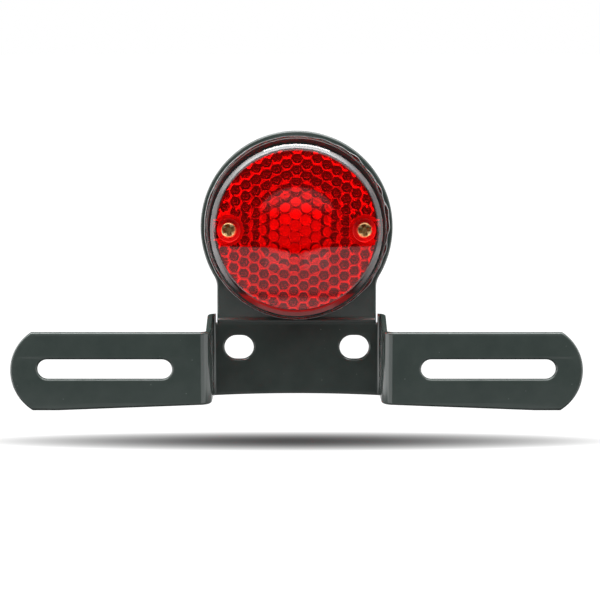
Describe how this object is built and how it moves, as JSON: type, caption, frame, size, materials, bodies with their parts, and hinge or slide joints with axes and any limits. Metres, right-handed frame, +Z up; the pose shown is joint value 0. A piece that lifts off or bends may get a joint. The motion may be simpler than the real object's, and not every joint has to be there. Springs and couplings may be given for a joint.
{
  "type": "motorcycle tail light",
  "caption": "Round red tail light with honeycomb lens on a bent black steel bracket, with slotted wings for a number plate and oblong fender holes.",
  "frame": {"origin": "midway between the two fender holes, on the back face of the centre plate", "axes": "+Z up, +X along the wings to the viewer's right, the lamp faces -Y, the fender is on the +Y side"},
  "size_m": [0.2, 0.063, 0.0962],
  "materials": {
    "black_paint": "gloss black paint with a faint green-grey cast",
    "red_lens": "clear red moulded plastic, polished outside",
    "black_rubber": "matt black rubber",
    "yellow_zinc": "yellow zinc plating",
    "fibre": "red-brown fibre",
    "zinc": "dull zinc plating",
    "bright_zinc": "bright zinc plating",
    "bakelite": "brown paper laminate",
    "brass": "plain brass",
    "spring_steel": "drawn wire",
    "nickel": "nickel-plated brass",
    "black_glass": "black vitreous insulator",
    "solder": "solder",
    "clear_glass": "clear glass",
    "frosted_glass": "white frosted glass",
    "filament_metal": "nickel and tungsten wire"
  },
  "bodies": {
    "mounting": {"bracket": "black_paint", "lens_gasket": "black_rubber", "lens_nuts": "zinc", "socket_shell": "bright_zinc", "socket_rivets": "zinc", "socket_end_plate": "bakelite", "cable_boot": "black_rubber", "contact_spring": "spring_steel"},
    "lens_cap": {"lens": "red_lens"},
    "washer_left": {"screw_washer_left": "fibre"},
    "screw_left": {"lens_screw_left": "yellow_zinc"},
    "washer_right": {"screw_washer_right": "fibre"},
    "screw_right": {"lens_screw_right": "yellow_zinc"},
    "contacts": {"contact_carrier": "bakelite", "contact_tips": "brass"},
    "bulb": {"bulb_cap": "nickel", "bulb_pins": "nickel", "bulb_insulator": "black_glass", "bulb_contacts": "solder", "bulb_glass": "frosted_glass", "bulb_stem": "clear_glass", "filament_supports": "filament_metal", "filament_stop": "filament_metal", "filament_tail": "filament_metal"}
  },
  "joints": [
    {"name": "lens_pull", "type": "slide", "parent": "mounting", "child": "lens_cap", "axis": [0, -0.9962, 0.0872], "range_m": [0, 0.05]},
    {"name": "left_screw_out", "type": "slide", "parent": "lens_cap", "child": "washer_left", "axis": [0, -0.9962, 0.0872], "range_m": [0, 0.0035]},
    {"name": "left_screw_turn", "type": "hinge", "parent": "washer_left", "child": "screw_left", "pos_m": [-0.0233, 0.00086, 0.04273], "axis": [0, -0.9962, 0.0872], "range_deg": [0, 2520]},
    {"name": "right_screw_out", "type": "slide", "parent": "lens_cap", "child": "washer_right", "axis": [0, -0.9962, 0.0872], "range_m": [0, 0.0035]},
    {"name": "right_screw_turn", "type": "hinge", "parent": "washer_right", "child": "screw_right", "pos_m": [0.0233, 0.00086, 0.04273], "axis": [0, -0.9962, 0.0872], "range_deg": [0, 2520]},
    {"name": "contact_press", "type": "slide", "parent": "mounting", "child": "contacts", "axis": [0, 0.9962, -0.0872], "range_m": [0, 0.002], "stiffness_N_per_m": 1500, "springref_m": -0.004, "deforming": ["contact_spring"]},
    {"name": "bulb_turn", "type": "hinge", "parent": "contacts", "child": "bulb", "pos_m": [0, 0.00086, 0.04273], "axis": [0, -0.9962, 0.0872], "range_deg": [0, 20]}
  ],
  "couplings": [
    {"joint": "left_screw_turn", "follows": "left_screw_out", "rad_per_m": 12566},
    {"joint": "right_screw_turn", "follows": "right_screw_out", "rad_per_m": 12566}
  ]
}
